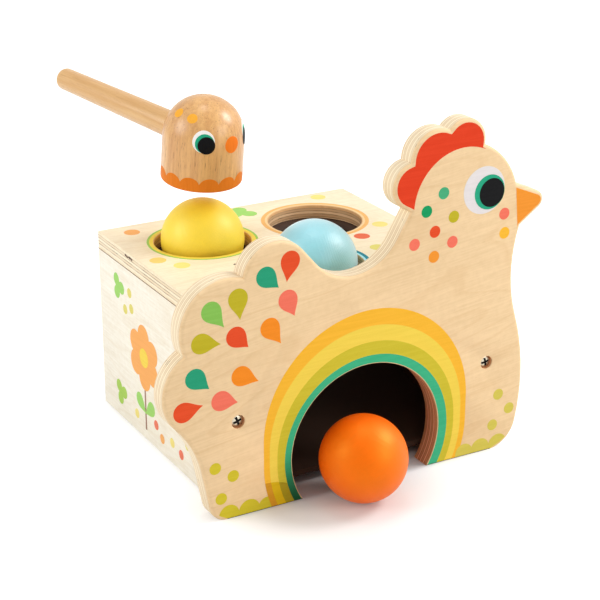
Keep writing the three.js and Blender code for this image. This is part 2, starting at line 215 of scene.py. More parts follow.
class Nodes:
    """A node tree in the making."""

    def __init__(self, owner):
        owner.use_nodes = True
        self.tree = owner.node_tree

    def plug(self, socket, value):
        if isinstance(value, Value):
            self.tree.links.new(value.socket, socket)
        else:
            socket.default_value = value

    def node(self, kind, settings=None, output=0, **inputs):
        """Any node: its settings first, then the values or links of its sockets."""
        made = self.tree.nodes.new("ShaderNode" + kind)
        for name, value in (settings or {}).items():
            setattr(made, name, value)
        for name, value in inputs.items():
            self.plug(made.inputs[name.replace("_", " ")], value)
        return Value(self, made.outputs[output])

    def math(self, operation, *values):
        made = self.tree.nodes.new("ShaderNodeMath")
        made.operation = operation
        for socket, value in zip(made.inputs, values):
            self.plug(socket, value)
        return Value(self, made.outputs[0])

    def times(self, vector, scale):
        """A vector multiplied axis by axis."""
        made = self.tree.nodes.new("ShaderNodeVectorMath")
        made.operation = "MULTIPLY"
        self.plug(made.inputs[0], vector)
        made.inputs[1].default_value = scale
        return Value(self, made.outputs[0])

    def mix(self, share, first, second):
        """A colour between two colours."""
        made = self.tree.nodes.new("ShaderNodeMix")
        made.data_type = "RGBA"
        factor, first_socket, second_socket = made.inputs[0], made.inputs[6], made.inputs[7]
        self.plug(factor, share)
        self.plug(first_socket, first)
        self.plug(second_socket, second)
        return Value(self, made.outputs[2])

    def ramp(self, value, low, high):
        """0 below low, 1 above high, smooth between."""
        settings = {"interpolation_type": "SMOOTHSTEP"}
        return self.node("MapRange", settings, Value=value, From_Min=low, From_Max=high)

    def in_view(self):
        """1 where the camera looks, straight, by a reflection or through glass."""
        kinds = ("Camera", "Glossy", "Transmission")
        camera, glossy, through = [self.node("LightPath", output=f"Is {kind} Ray") for kind in kinds]
        return (camera + glossy + through).math("MINIMUM", 1)


class Finish(Nodes):
    """A material in the making, with a principled shader."""

    def __init__(self, name, **constants):
        self.material = bpy.data.materials.new(name)
        super().__init__(self.material)
        self.shader = self.tree.nodes["Principled BSDF"]
        for socket, value in constants.items():
            self.shader.inputs[socket.replace("_", " ")].default_value = value

    def place(self, origin=(0, 0, 0), turn=(0, 0, 0)):
        """Millimetres from a point, in axes turned about it."""
        where = self.node("TexCoord", output="Object")
        settings = {"vector_type": "TEXTURE"}
        return self.node("Mapping", settings, Vector=where, Location=origin, Rotation=turn,
                         Scale=(MM, MM, MM))

    def noise(self, place, scale, detail=2.0, roughness=0.5):
        """Cloudy values about 0.5. scale is cycles per millimetre, one value or one for each axis."""
        scale = scale if isinstance(scale, (tuple, list)) else (scale, scale, scale)
        return self.node("TexNoise", Vector=self.times(place, scale), Scale=1.0, Detail=detail,
                         Roughness=roughness)

    def grained(self, place, along, pattern):
        """Noise drawn out along an axis, in a grain pattern."""
        across, lengthways, detail = pattern
        scale = [across] * 3
        scale["XYZ".index(along)] = lengthways
        return self.noise(place, scale, detail, GRAIN_ROUGHNESS)

    def axes(self, place):
        return [self.node("SeparateXYZ", output=axis, Vector=place) for axis in "XYZ"]

    def bump(self, height, strength, distance):
        """Relief of the surface, with its distance in metres."""
        made = self.node("Bump", Height=height, Strength=strength, Distance=distance)
        self.plug(self.shader.inputs["Normal"], made)

    def done(self, colour, roughness):
        self.plug(self.shader.inputs["Base Color"], colour)
        self.plug(self.shader.inputs["Roughness"], roughness)
        return self.material


# Finishes
def scaled(colour, share):
    """A colour times a share, or a share for each channel."""
    shares = share if isinstance(share, tuple) else (share, share, share)
    return tuple(min(255, value * part) for value, part in zip(colour, shares))


PALE_PLIES = ((252, 238, 208), (246, 227, 191), (146, 98, 60))
HEN_PLIES = ((251, 235, 203), (246, 225, 188), (208, 166, 120))
# Darker plies for the walls of the ball holes: painted shade
HOLE_SHADE_PLIES = ((240, 204, 160), (220, 180, 136), (146, 100, 64))
# Plies of the arch wall and the screw seats, made darker as painted shade
ARCH_SHADE_PLIES = ((255, 190, 142), (234, 160, 112), (146, 88, 56))
FLECK_BROWN = (172, 120, 78)
PORE_BROWN = (104, 62, 34)
FINE_PORE_BROWN = (148, 94, 52)
FIBRE_COLOURS = ((44, 30, 22), (78, 55, 40))
RUBBER_COLOURS = ((52, 36, 26), (74, 52, 38))
STEEL_COLOURS = ((182, 172, 150), (222, 214, 192))
# Near black of the screws' cross recesses: painted shade
RECESS_SHADE_COLOUR = (24, 20, 18)
HEAD_COLOURS = ((230, 178, 110), (203, 145, 82))
HANDLE_COLOURS = ((225, 180, 117), (206, 155, 91))
DOWEL_COLOURS = ((232, 200, 150), (208, 168, 112))
FIGURE_LINES = 12
# Grain patterns: cycles per millimetre across and along the grain, and detail
FACE_GRAIN = (0.9, 0.04, 4.0)
FACE_FIGURE = (0.08, 0.012, 3.0)
FACE_FLECKS = (1.5, 0.2, 2.0)
FACE_GROWTH = (0.022, 0.005, 1.5)
EDGE_VOIDS = (0.16, 0.1, 2.0)
TURNED_GRAIN = (0.55, 0.03, 3.0)
TURNED_STREAK = (0.12, 0.006, 3.0)
TURNED_PORES = (1.35, 0.1, 3.0)
TURNED_FINE_PORES = (3.0, 0.25, 3.0)
PAPER_WHITE = 250
BALL_IOR = 1.8
RINGS_PER_MM = 1.1
BLOOM_ROUGHNESS = 0.5


def plywood(name, face, through, thickness, face_colour, along, edge=PALE_PLIES, back=None, lean=0.0,
            figured=0.2):
    """Lacquered plywood. face is a point on its outer face, through the axis of its thickness, along that of
    its grain. edge holds the colours of its long plies, cross plies and glue, and back the colour of its
    inner face, which is painted shade. lean turns the grain in the face, and figured is how far its growth
    lines stand out."""
    ply_thickness = HEN_PLY if thickness > BOARD_THICKNESS + 1 else BOARD_PLY
    plies = thickness / ply_thickness
    finish = Finish(name, Specular_IOR_Level=0.3, Coat_Weight=0.08, Coat_Roughness=0.4)
    place = finish.place(face, tuple(lean if axis == through else 0.0 for axis in "XYZ"))

    # The face: grain, mottle, flecks and growth lines
    grain = finish.grained(place, along, FACE_GRAIN)
    figure = finish.grained(place, along, FACE_FIGURE)
    flecks = finish.ramp(finish.grained(place, along, FACE_FLECKS), 0.6, 0.74)
    mottle = finish.noise(place, 0.3, 3.0)
    pale = linear(scaled(face_colour, 1.02))
    dark = linear(scaled(face_colour, (0.966, 0.95, 0.92)))
    shade = finish.ramp(grain * 0.5 + figure * 0.25 + mottle * 0.25, 0.32, 0.68)
    face_wood = finish.mix(shade, pale, dark)
    face_wood = finish.mix(flecks * 0.12, face_wood, linear(FLECK_BROWN))
    growth = (finish.grained(place, along, FACE_GROWTH) * FIGURE_LINES).math("FRACT")
    lines = finish.ramp(growth, 0.7, 0.92) * (1 - finish.ramp(growth, 0.92, 1.0))
    face_wood = finish.mix(lines * figured, face_wood, linear(scaled(face_colour, (0.93, 0.88, 0.8))))

    # The edge: plies that waver, glue lines and hollows
    depth = finish.axes(place)["XYZ".index(through)].math("ABSOLUTE")
    slow = finish.noise(place, 0.04)
    quick = finish.noise(place, 0.3)
    ply = (depth + slow * 0.5 + quick * 0.12 - 0.31) / ply_thickness
    behind = finish.ramp(ply, plies - 0.98, plies - 0.92)
    inside = finish.ramp(ply, 0.92, 0.98) * (1 - behind)
    in_ply = ply.math("FRACT")
    seam = in_ply.math("MINIMUM", 1 - in_ply)
    patchy = finish.ramp(finish.noise(place, 0.09), 0.38, 0.6)
    voids = finish.ramp(finish.grained(place, along, EDGE_VOIDS), 0.66, 0.7)
    glue = (1 - finish.ramp(seam, 0.07, 0.19)) * inside * (0.4 + 0.45 * patchy)
    hollow = (1 - finish.ramp(seam, 0.08, 0.16)) * inside * voids
    odd = (ply * 0.5).math("FRACT") > 0.5
    pores = finish.noise(place, 2.4, 2.0, 0.7)
    long_colour, cross_colour, glue_colour = edge
    cross_wood = finish.mix(pores, linear(scaled(cross_colour, 0.93)), linear(cross_colour))
    ply_wood = finish.mix(odd, linear(long_colour), cross_wood)
    ply_wood = finish.mix(glue, ply_wood, linear(glue_colour))
    ply_wood = finish.mix(hollow * 0.7, ply_wood, linear(scaled(glue_colour, 0.5)))
    colour = finish.mix(inside, face_wood, ply_wood)
    # Painted shade: the inner face is darkened, for the shade inside the box
    if back:
        colour = finish.mix(depth > thickness - 0.05, colour, linear(back))
    height = grain * 0.5 - glue * 0.8 - hollow * 1.2 - flecks * 0.3
    finish.bump(height, strength=0.16, distance=0.00015)
    return finish.done(colour, 0.48 + grain * 0.14)


def ink(name, colour, along="X", painted_shadow=None):
    """Printed ink on wood, with the grain showing faintly through. The last argument, where given, paints a
    shadow on the ink: a darker colour, the point that the ink darkens towards, and the distances at which the
    shadow is full and gone."""
    finish = Finish(name, Specular_IOR_Level=0.1)
    place = finish.place()
    grain = finish.grained(place, along, FACE_GRAIN)
    specks = finish.noise(place, 2.2, 2.0, 0.6)
    thin = linear([value + (PAPER_WHITE - value) * 0.035 for value in colour])
    thick = linear(scaled(colour, 0.97))
    shade = finish.mix(finish.ramp(grain * 0.7 + specks * 0.3, 0.3, 0.72), thick, thin)
    # Painted shadow: the ink darkens towards a point
    if painted_shadow:
        deep, middle, near, far = painted_shadow
        x, _, z = finish.axes(finish.place(tuple(middle)))
        shade = finish.mix(finish.ramp((x * x + z * z) ** 0.5, near, far), linear(deep), shade)
    finish.bump(grain * 0.6 + specks * 0.3, strength=0.12, distance=0.0001)
    return finish.done(shade, 0.44 + specks * 0.14)


def ball_paint(name, colour, gloss, sheen, bloom, centre, tilt):
    """Satin paint on a turned ball, with the wood's grain under it. sheen is the colour of its gloss, and
    bloom how much it whitens at a slant."""
    finish = Finish(name, IOR=BALL_IOR, Specular_IOR_Level=gloss, Specular_Tint=linear(sheen),
                    Sheen_Weight=bloom, Sheen_Roughness=BLOOM_ROUGHNESS)
    place = finish.place(centre, tilt)
    x, y, z = finish.axes(place)
    sway = finish.noise(place, (0.06, 0.06, 0.02)) * 6.0
    rings = ((x * x + y * y) ** 0.5 + sway) * RINGS_PER_MM
    latewood = finish.ramp(rings.math("FRACT"), 0.55, 0.95)
    pores = finish.noise(place, (1.6, 1.6, 0.08), 3.0, 0.6)
    clouds = finish.noise(place, 0.08)
    deep = linear(scaled(colour, 0.96))
    shade = finish.mix(finish.ramp(clouds * 0.6 + pores * 0.4, 0.3, 0.7), deep, linear(colour))
    finish.bump(latewood * 0.45 + pores * 0.5, strength=0.5, distance=0.0002)
    return finish.done(shade, 0.43 + pores * 0.1)


def turned_wood(name, origin, turn, along, colours, pore_share):
    """Lacquered turned wood with dark pores. along is the axis of its grain, in its own turned axes, and
    colours are those of its pale and dark wood."""
    finish = Finish(name, Specular_IOR_Level=0.5, Coat_Weight=0.4, Coat_Roughness=0.24)
    place = finish.place(origin, turn)
    grain = finish.grained(place, along, TURNED_GRAIN)
    streak = finish.grained(place, along, TURNED_STREAK)
    pores = finish.ramp(finish.grained(place, along, TURNED_PORES), 0.6, 0.7)
    fine = finish.ramp(finish.grained(place, along, TURNED_FINE_PORES), 0.56, 0.7)
    figure = finish.ramp(grain * 0.5 + streak * 0.5, 0.32, 0.68)
    wood = finish.mix(figure, *map(linear, colours))
    wood = finish.mix(pores * pore_share, wood, linear(PORE_BROWN))
    wood = finish.mix(fine * (pore_share * 0.7), wood, linear(FINE_PORE_BROWN))
    finish.bump(grain * 0.3 - pores * 0.6 - fine * 0.2, strength=0.2, distance=0.00012)
    return finish.done(wood, 0.34 + pores * 0.2 + figure * 0.08)


def hardboard(name):
    """Dark fibre board, matte, with short fibres."""
    finish = Finish(name, Specular_IOR_Level=0.25)
    place = finish.place()
    fibres = finish.noise(place, (1.8, 0.5, 1.8), 4.0, 0.7)
    clouds = finish.noise(place, 0.05)
    colour = finish.mix(fibres * 0.7 + clouds * 0.3, *map(linear, FIBRE_COLOURS))
    finish.bump(fibres, strength=0.3, distance=0.0002)
    return finish.done(colour, 0.62 + fibres * 0.2)


def rubber(name):
    """Brown moulded rubber, matte, with a fine tooth."""
    finish = Finish(name, Specular_IOR_Level=0.3)
    place = finish.place()
    tooth = finish.noise(place, 3.0, 3.0, 0.6)
    bloom = finish.noise(place, 0.15)
    colour = finish.mix(bloom * 0.7 + tooth * 0.3, *map(linear, RUBBER_COLOURS))
    finish.bump(tooth, strength=0.25, distance=0.0001)
    return finish.done(colour, 0.72 + tooth * 0.15)


def plated_steel(name):
    """Nickel-plated steel with fine turning marks and a little dullness."""
    finish = Finish(name, Metallic=1.0)
    place = finish.place()
    marks = finish.noise(place, (5.0, 1.2, 5.0))
    dull = finish.noise(place, 0.7)
    colour = finish.mix(dull, *map(linear, STEEL_COLOURS))
    finish.bump(marks, strength=0.15, distance=0.00005)
    return finish.done(colour, 0.24 + dull * 0.2)


# Mesh making
def mesh_of(bm, name):
    mesh = bpy.data.meshes.new(name)
    bm.to_mesh(mesh)
    bm.free()
    return mesh


def close_up(bm):
    """Merged points and faces that point outwards."""
    bmesh.ops.remove_doubles(bm, verts=bm.verts, dist=MERGE)
    bmesh.ops.recalc_face_normals(bm, faces=bm.faces)


def piece(name, bm, finishes, body, replaces=(), sharp=math.radians(40)):
    """A finished piece that rides on a body, smooth but for edges sharper than an angle."""
    for face in bm.faces:
        face.smooth = True
    for edge in bm.edges:
        edge.smooth = edge.is_manifold and edge.calc_face_angle(0) < sharp
    made = bpy.data.objects.new(name, mesh_of(bm, name))
    bpy.context.scene.collection.objects.link(made)
    for finish in finishes:
        made.data.materials.append(finish)
    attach(made, body)
    if replaces:
        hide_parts(*replaces)
    return made


def block(low, high):
    bm = bmesh.new()
    size = high - low
    matrix = Matrix.Translation((low + high) / 2) @ Matrix.Diagonal((*size, 1))
    bmesh.ops.create_cube(bm, size=1, matrix=matrix)
    return bm


def pin(radius, low, high, segments=128):
    """A cylinder along Z between two points, radius in metres."""
    bm = bmesh.new()
    matrix = Matrix.Translation((low + high) / 2)
    bmesh.ops.create_cone(bm, cap_ends=True, segments=segments, radius1=radius, radius2=radius,
                          depth=(high - low).length, matrix=matrix)
    return bm


def turned(profile, steps=96):
    """A profile of radius and height in millimetres, turned about Z."""
    bm = bmesh.new()
    points = [bm.verts.new((radius * MM, 0, height * MM)) for radius, height in profile]
    edges = [bm.edges.new(pair) for pair in zip(points, points[1:])]
    bmesh.ops.spin(bm, geom=points + edges, cent=(0, 0, 0), axis=(0, 0, 1), angle=math.tau,
                   steps=steps, use_merge=True)
    close_up(bm)
    return bm


def arc(centre_radius, centre_height, radius, start, end, steps):
    """Points of a round stretch of a profile, between two angles in degrees."""
    angles = [math.radians(start + (end - start) * i / steps) for i in range(steps + 1)]
    return [(centre_radius + radius * math.cos(a), centre_height + radius * math.sin(a)) for a in angles]


def carved(bm, tools, operation="DIFFERENCE"):
    """The shape with others cut from it, or what it shares with them."""
    base = bpy.data.objects.new("base", mesh_of(bm, "base"))
    bpy.context.scene.collection.objects.link(base)
    spares = [base]
    for tool in tools:
        cutter = bpy.data.objects.new("tool", mesh_of(tool, "tool"))
        bpy.context.scene.collection.objects.link(cutter)
        spares.append(cutter)
        modifier = base.modifiers.new("cut", "BOOLEAN")
        modifier.operation = operation
        modifier.solver = "EXACT"
        modifier.object = cutter
    graph = bpy.context.evaluated_depsgraph_get()
    result = bmesh.new()
    result.from_object(base, graph)
    for spare in spares:
        bpy.data.objects.remove(spare)
    close_up(result)
    return result


def eased(bm, edges, radius, segments=3):
    """Edges rounded off, radius in millimetres."""
    bmesh.ops.bevel(bm, geom=edges, offset=radius * MM, offset_type="OFFSET", segments=segments,
                    profile=0.5, affect="EDGES", material=-1, clamp_overlap=False)
    return bm


def sharp_edges(bm, angle=math.radians(60)):
    return [edge for edge in bm.edges if edge.is_manifold and edge.calc_face_angle(0) > angle]


# Prints: thin films of ink, laid out in millimetres on a surface
def on_hen(u, v, w):
    return at(u, -w, v)


def on_top(u, v, w):
    return at(u, v, 0) + Vector((0, 0, TOP_HIGH.z + w * MM))


def on_left_side(u, v, w):
    return Vector((SIDE_LOW.x - w * MM, FACE_Y + u * MM, v * MM))


def on_right_side(u, v, w):
    return Vector((TOP_HIGH.x + w * MM, FACE_Y + u * MM, v * MM))


def dot(radius, stretch=1.0, segments=48):
    bm = bmesh.new()
    bmesh.ops.create_circle(bm, cap_ends=True, radius=radius, segments=segments)
    bmesh.ops.scale(bm, vec=(stretch, 1, 1), verts=bm.verts)
    return bm


def drop(radius, reach, sharpness=7, segments=64):
    """A round drop about the origin, drawn out to a tip at +X."""
    bm = dot(radius, segments=segments)
    for vert in bm.verts:
        away = abs(math.atan2(vert.co.y, vert.co.x)) / math.pi
        vert.co.x += (reach - radius) * (1 - away) ** sharpness
    return bm


def moved(bm, u, v, angle=0.0):
    matrix = Matrix.Translation((u, v, 0)) @ Matrix.Rotation(angle, 4, "Z")
    bmesh.ops.transform(bm, matrix=matrix, verts=bm.verts)
    return bm


def pointing_in(bm, u, v, distance, direction):
    """A drop at a distance from a point, with its tip towards the point."""
    across = distance * math.cos(direction)
    up = distance * math.sin(direction)
    return moved(bm, u + across, v + up, direction + math.pi)


def bar(width, height):
    bm = bmesh.new()
    bmesh.ops.create_grid(bm, x_segments=1, y_segments=1, size=0.5)
    bmesh.ops.scale(bm, vec=(width, height, 1), verts=bm.verts)
    return bm


def dots(radius, places):
    """Films of round dots at places with an ink each."""
    return [(moved(dot(radius), u, v), colour, 0) for u, v, colour in places]


def printed(name, shapes, surface, body, along="X"):
    """One piece of several films. A shape is a flat mesh, an ink and the number of films it lies on."""
    whole = bmesh.new()
    inks = []
    for shape, colour, level in shapes:
        if colour not in inks:
            inks.append(colour)
        top = FILM * (level + 1)
        for vert in shape.verts:
            vert.co.z = top
        bmesh.ops.recalc_face_normals(shape, faces=shape.faces)
        bmesh.ops.solidify(shape, geom=shape.faces, thickness=top + FILM_SINK)
        lift = max(vert.co.z for vert in shape.verts) - top
        for vert in shape.verts:
            vert.co = surface(vert.co.x, vert.co.y, vert.co.z - lift)
        for face in shape.faces:
            face.material_index = inks.index(colour)
        mesh = mesh_of(shape, "film")
        whole.from_mesh(mesh)
        bpy.data.meshes.remove(mesh)
    bmesh.ops.recalc_face_normals(whole, faces=whole.faces)
    finishes = [ink_of(colour, along) for colour in inks]
    return piece(name, whole, finishes, body)


INK_CACHE = {}


def ink_of(colour, along):
    key = f"{colour}_ink_{along.lower()}"
    if key not in INK_CACHE:
        INK_CACHE[key] = ink(key, INKS[colour], along, INK_PAINTED_SHADOWS.get(colour))
    return INK_CACHE[key]


# Hen panel
SCREW_CLEARANCE = 4.0
STRAIGHT_ANGLE = math.radians(0.2)
CREASE_ANGLE = 1.0
ARCH_REACH = 0.2
GROUND_REACH = 0.05


def from_screw(point):
    """Millimetres from the axis of the nearest front screw."""
    return min(math.hypot(point.x - place.x, point.z - place.z) for place in SCREW_PLACES) / MM


def hen_blank():
    """The hen's outline as one flat face at its printed side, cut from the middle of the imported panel."""
    bm = bmesh.new()
    bm.from_mesh(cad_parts["hen_front_panel"].data)
    bmesh.ops.remove_doubles(bm, verts=bm.verts, dist=TOUCH)
    middle = (HEN_LOW + HEN_HIGH) / 2
    cut = bmesh.ops.bisect_plane(bm, geom=bm.verts[:] + bm.edges[:] + bm.faces[:], dist=MERGE,
                                 plane_co=middle, plane_no=(0, 1, 0), clear_outer=True)
    edges = [item for item in cut["geom_cut"] if isinstance(item, bmesh.types.BMEdge)]
    outline = [edge for edge in edges if from_screw(edge.verts[0].co) > SCREW_CLEARANCE]
    points = {vert for edge in outline for vert in edge.verts}
    bmesh.ops.delete(bm, geom=[vert for vert in bm.verts if vert not in points], context="VERTS")
    bmesh.ops.delete(bm, geom=bm.faces[:], context="FACES_ONLY")
    loose = [edge for edge in bm.edges if any(abs(vert.co.y - middle.y) > TOUCH for vert in edge.verts)]
    bmesh.ops.delete(bm, geom=loose, context="EDGES")
    bmesh.ops.dissolve_limit(bm, angle_limit=STRAIGHT_ANGLE, verts=bm.verts, edges=bm.edges)
    bmesh.ops.contextual_create(bm, geom=bm.edges[:])
    for vert in bm.verts:
        vert.co.y = FACE_Y
    return bm


def in_arch(vert):
    offset = vert.co - at(0, 0, ARCH_CENTRE_HEIGHT)
    return abs(math.hypot(offset.x, offset.z) - ARCH_RADIUS * MM) < ARCH_REACH * MM


def on_ground(vert):
    return vert.co.z < GROUND_REACH * MM


def rims(bm, wanted):
    """Edges that run round the hen at one depth, and whose ends are both wanted."""
    level = [edge for edge in bm.edges if abs(edge.verts[0].co.y - edge.verts[1].co.y) < MERGE]
    return [edge for edge in level if all(wanted(vert) for vert in edge.verts)]


def creased(edges):
    return [edge for edge in edges if edge.calc_face_angle(0) > CREASE_ANGLE]


def hen_slab():
    """The hen at its full thickness. Its outer edges are rounded, those of the arch and the ground less."""
    bm = hen_blank()
    grown = bmesh.ops.extrude_face_region(bm, geom=bm.faces[:])
    back = [item for item in grown["geom"] if isinstance(item, bmesh.types.BMVert)]
    bmesh.ops.translate(bm, vec=(0, HEN_HIGH.y - HEN_LOW.y, 0), verts=back)
    close_up(bm)
    sharper = {*rims(bm, on_ground), *rims(bm, in_arch)}
    outer = [edge for edge in rims(bm, lambda vert: True) if edge not in sharper]
    eased(bm, outer, HEN_EDGE_ROUND, 6)
    arched = creased(rims(bm, lambda vert: in_arch(vert) and not on_ground(vert)))
    eased(bm, arched, ARCH_EDGE_ROUND, 2)
    eased(bm, creased(rims(bm, on_ground)), GROUND_EDGE_ROUND, 2)
    return bm


def hen_face():
    """The flat printed face inside the rounded edge."""
    bm = hen_slab()
    flat = [face for face in bm.faces if all(abs(vert.co.y - FACE_Y) < TOUCH for vert in face.verts)]
    widest = max(flat, key=lambda face: face.calc_area())
    bmesh.ops.delete(bm, geom=[face for face in bm.faces if face != widest], context="FACES")
    for vert in bm.verts:
        vert.co = Vector(((vert.co.x - MIDDLE_X) / MM, vert.co.z / MM, 0))
    return bm


def trimmed(bm, point, direction):
    """A flat shape, cut along a line. direction is towards the side that is dropped."""
    bmesh.ops.bisect_plane(bm, geom=bm.verts[:] + bm.edges[:] + bm.faces[:], dist=TOUCH,
                           plane_co=(*point, 0), plane_no=(*direction, 0), clear_outer=True)
    return bm


HEN_FACE = tuple(at(0, 0, 0))
GRAIN_LEAN = math.radians(-7)
HEN_WOOD = (242, 210, 164)
# The arch and the screw seats take darker wood: painted shade
ARCH_SHADE_WOOD = (214, 160, 112)
hen_ply = plywood("hen_plywood", HEN_FACE, "Y", HEN_THICKNESS, HEN_WOOD, "X", HEN_PLIES, lean=GRAIN_LEAN,
                  figured=0.27)
arch_shade_ply = plywood("arch_plywood", HEN_FACE, "Y", HEN_THICKNESS, ARCH_SHADE_WOOD, "X", ARCH_SHADE_PLIES)
BORE_REACH = 0.1
HEN_SHARP = math.radians(35)


def on_bore_rim(vert):
    on_face = abs(vert.co.y - FACE_Y) < BORE_REACH * MM
    return on_face and abs(from_screw(vert.co) - SCREW_BORE_RADIUS) < BORE_REACH


def in_bore(face):
    """Whether a face belongs to the seat of a front screw."""
    middle = face.calc_center_median()
    return from_screw(middle) < SCREW_BORE_RADIUS and middle.y > FACE_Y + BORE_EDGE_ROUND * MM


def hen_slot(face):
    """0 for the hen's own wood, 1 for the darker wood of arch and bores, which is painted shade, 2 for the
    dark edge on the ground, which is a painted contact shadow.
    """
    if all(vert.co.z < (GROUND_EDGE_ROUND + GROUND_REACH) * MM for vert in face.verts):
        return 2
    return int(all(in_arch(vert) for vert in face.verts) or in_bore(face))


def make_hen():
    holes = []
    for place in SCREW_PLACES:
        for radius, depth in ((SCREW_HOLE_RADIUS, 2 * HEN_THICKNESS), (SCREW_BORE_RADIUS, SCREW_SEAT_DEPTH)):
            hole = pin(radius * MM, Vector((0, 0, -depth * MM)), Vector((0, 0, HEN_THICKNESS * MM)), 48)
            bmesh.ops.rotate(hole, verts=hole.verts, matrix=Matrix.Rotation(math.pi / 2, 3, "X"))
            bmesh.ops.translate(hole, verts=hole.verts, vec=(place.x, FACE_Y, place.z))
            holes.append(hole)
    hen = carved(hen_slab(), holes)
    eased(hen, rims(hen, on_bore_rim), BORE_EDGE_ROUND, 3)
    for face in hen.faces:
        face.material_index = hen_slot(face)
    # The hen's edge on the ground takes dark brown ink: a painted contact shadow
    finishes = [hen_ply, arch_shade_ply, ink_of("ground_brown", "X")]
    piece("hen_panel", hen, finishes, "box", ["hen_front_panel"], HEN_SHARP)


COMB_ARC = (55.8, 144.7, 29.9)
COMB_FRONT_ANGLE = math.radians(66)
COMB_TIP_HEIGHT = 146.0
BEAK_BROW = (88.6, 147.7)
BEAK_CHIN = (90.4, 127.3)
BEAK_MARGIN = 1.0
SLAB_THICKNESS = 4.0
DISC_REACH = 10.0
UPWARD = 0.9


def slab(shape):
    """A flat shape made thick, so that it can be cut."""
    bmesh.ops.recalc_face_normals(shape, faces=shape.faces)
    bmesh.ops.solidify(shape, geom=shape.faces, thickness=SLAB_THICKNESS)
    middle = sum((vert.co.z for vert in shape.verts)) / len(shape.verts)
    bmesh.ops.translate(shape, verts=shape.verts, vec=(0, 0, -middle))
    close_up(shape)
    return shape


def cut_flat(shape, tool, operation):
    """A flat shape less another, or the part that two share."""
    cut = carved(slab(shape), [tool], operation)
    bmesh.ops.delete(cut, geom=[face for face in cut.faces if face.normal.z < UPWARD], context="FACES")
    return cut


def disc(x, z, radius):
    return pin(radius, Vector((x, z, -DISC_REACH)), Vector((x, z, DISC_REACH)), 192)


def print_hen(name, shapes):
    printed(name, shapes, on_hen, "box")


def paint_comb():
    x, z, radius = COMB_ARC
    comb = trimmed(hen_face(), (x, z), (math.sin(COMB_FRONT_ANGLE), -math.cos(COMB_FRONT_ANGLE)))
    trimmed(comb, (0, COMB_TIP_HEIGHT), (0, -1))
    comb = cut_flat(comb, disc(x, z, radius), "DIFFERENCE")
    print_hen("comb_paint", [(comb, "red", 0)])


def paint_beak():
    brow, chin = Vector(BEAK_BROW), Vector(BEAK_CHIN)
    down = chin - brow
    beak = trimmed(hen_face(), brow, (down.y, -down.x))
    trimmed(beak, (0, chin.y - BEAK_MARGIN), (0, -1))
    print_hen("beak_paint", [(beak, "beak_orange", 0)])


# The eye's rounds, each on the last: radius, middle, ink
HEN_EYE = [(12.7, 68.4, 150, "eye_white"), (9.3, 71.8, 148.5, "iris"), (7.7, 73.2, 148, "pupil")]


def paint_eye():
    shapes = [(moved(dot(radius, segments=96), x, z), colour, level)
              for level, (radius, x, z, colour) in enumerate(HEN_EYE)]
    print_hen("hen_eye", shapes)


NECK_DOT_RADIUS = 3.2
NECK_DOTS = [
    (43.5, 152.3, "mid_green"), (33.5, 144.1, "dark_green"), (50.1, 138.7, "olive"),
    (38.8, 132.5, "tomato"), (26.6, 127.6, "coral"), (49.7, 125.2, "coral"),
    (38.6, 119.0, "beak_orange"), (81.7, 135.1, "coral"), (82.3, 124.5, "amber"),
]


def paint_neck_dots():
    print_hen("neck_dots", dots(NECK_DOT_RADIUS, NECK_DOTS))


# Middle of a feather's round end, its tip, its ink
FEATHERS = [
    (-45, 131.9, -46.9, 122.4, "tomato"), (-58.5, 126.1, -52.2, 120, "teal_green"),
    (-73.8, 117.7, -72.9, 107.6, "olive"), (-88.3, 113.8, -82.1, 105.3, "light_green"),
    (-46.4, 111.9, -43.1, 103.8, "coral"), (-56.5, 99.1, -50.9, 90.5, "orange"),
    (-75.2, 98.2, -69.2, 92.2, "tomato"), (-94, 98.4, -84.4, 96.4, "olive"),
    (-97.6, 80.8, -90.8, 74.5, "teal_green"), (-72.7, 76.9, -63.9, 72.6, "orange"),
    (-83.9, 66, -75.7, 63.6, "coral"), (-104.4, 64.3, -94.7, 65.8, "tomato"),
]
FEATHER_ROUND = 5.3
FEATHER_POINT = 1.0


def paint_feathers():
    shapes = []
    for x, z, tip_x, tip_z, colour in FEATHERS:
        angle = math.atan2(tip_z - z, tip_x - x)
        reach = math.hypot(tip_x - x, tip_z - z) + FEATHER_POINT
        shapes.append((moved(drop(FEATHER_ROUND, reach), x, z, angle), colour, 0))
    print_hen("tail_feathers", shapes)


# The rainbow's bands, from outside in: radius, rise of the top half over the arch's middle, ink
RAINBOW = [
    (61.2, 13.1, "amber"), (57.9, 7.5, "yellow"), (53.5, 3.1, "olive_band"), (49.2, 0.0, "green"),
]
RAINBOW_MIDDLE = 0.7
HALF_WAY = 0.001
FOOT_INKS = ["amber_foot", "yellow_foot", "olive_foot"]
MOUND = (-60.0, -15.6, 30.0)
# The green band darkens towards the foot of the hen's left leg: a painted shadow of the orange ball
PAINTED_SHADOW_MIDDLE = at(-52.0, 0, -15.5)
PAINTED_SHADOW_NEAR = 14
PAINTED_SHADOW_FAR = 52
INK_PAINTED_SHADOWS = {"green": (INKS["green_foot"], PAINTED_SHADOW_MIDDLE, PAINTED_SHADOW_NEAR, PAINTED_SHADOW_FAR)}


def rainbow_line(bm, middle, radius, rise):
    """A circle round the arch's middle with its top half raised."""
    circle = bmesh.ops.create_circle(bm, radius=radius, segments=192)["verts"]
    for vert in circle:
        vert.co.x += middle
        vert.co.y += ARCH_CENTRE_HEIGHT + (rise if vert.co.y > HALF_WAY else 0)


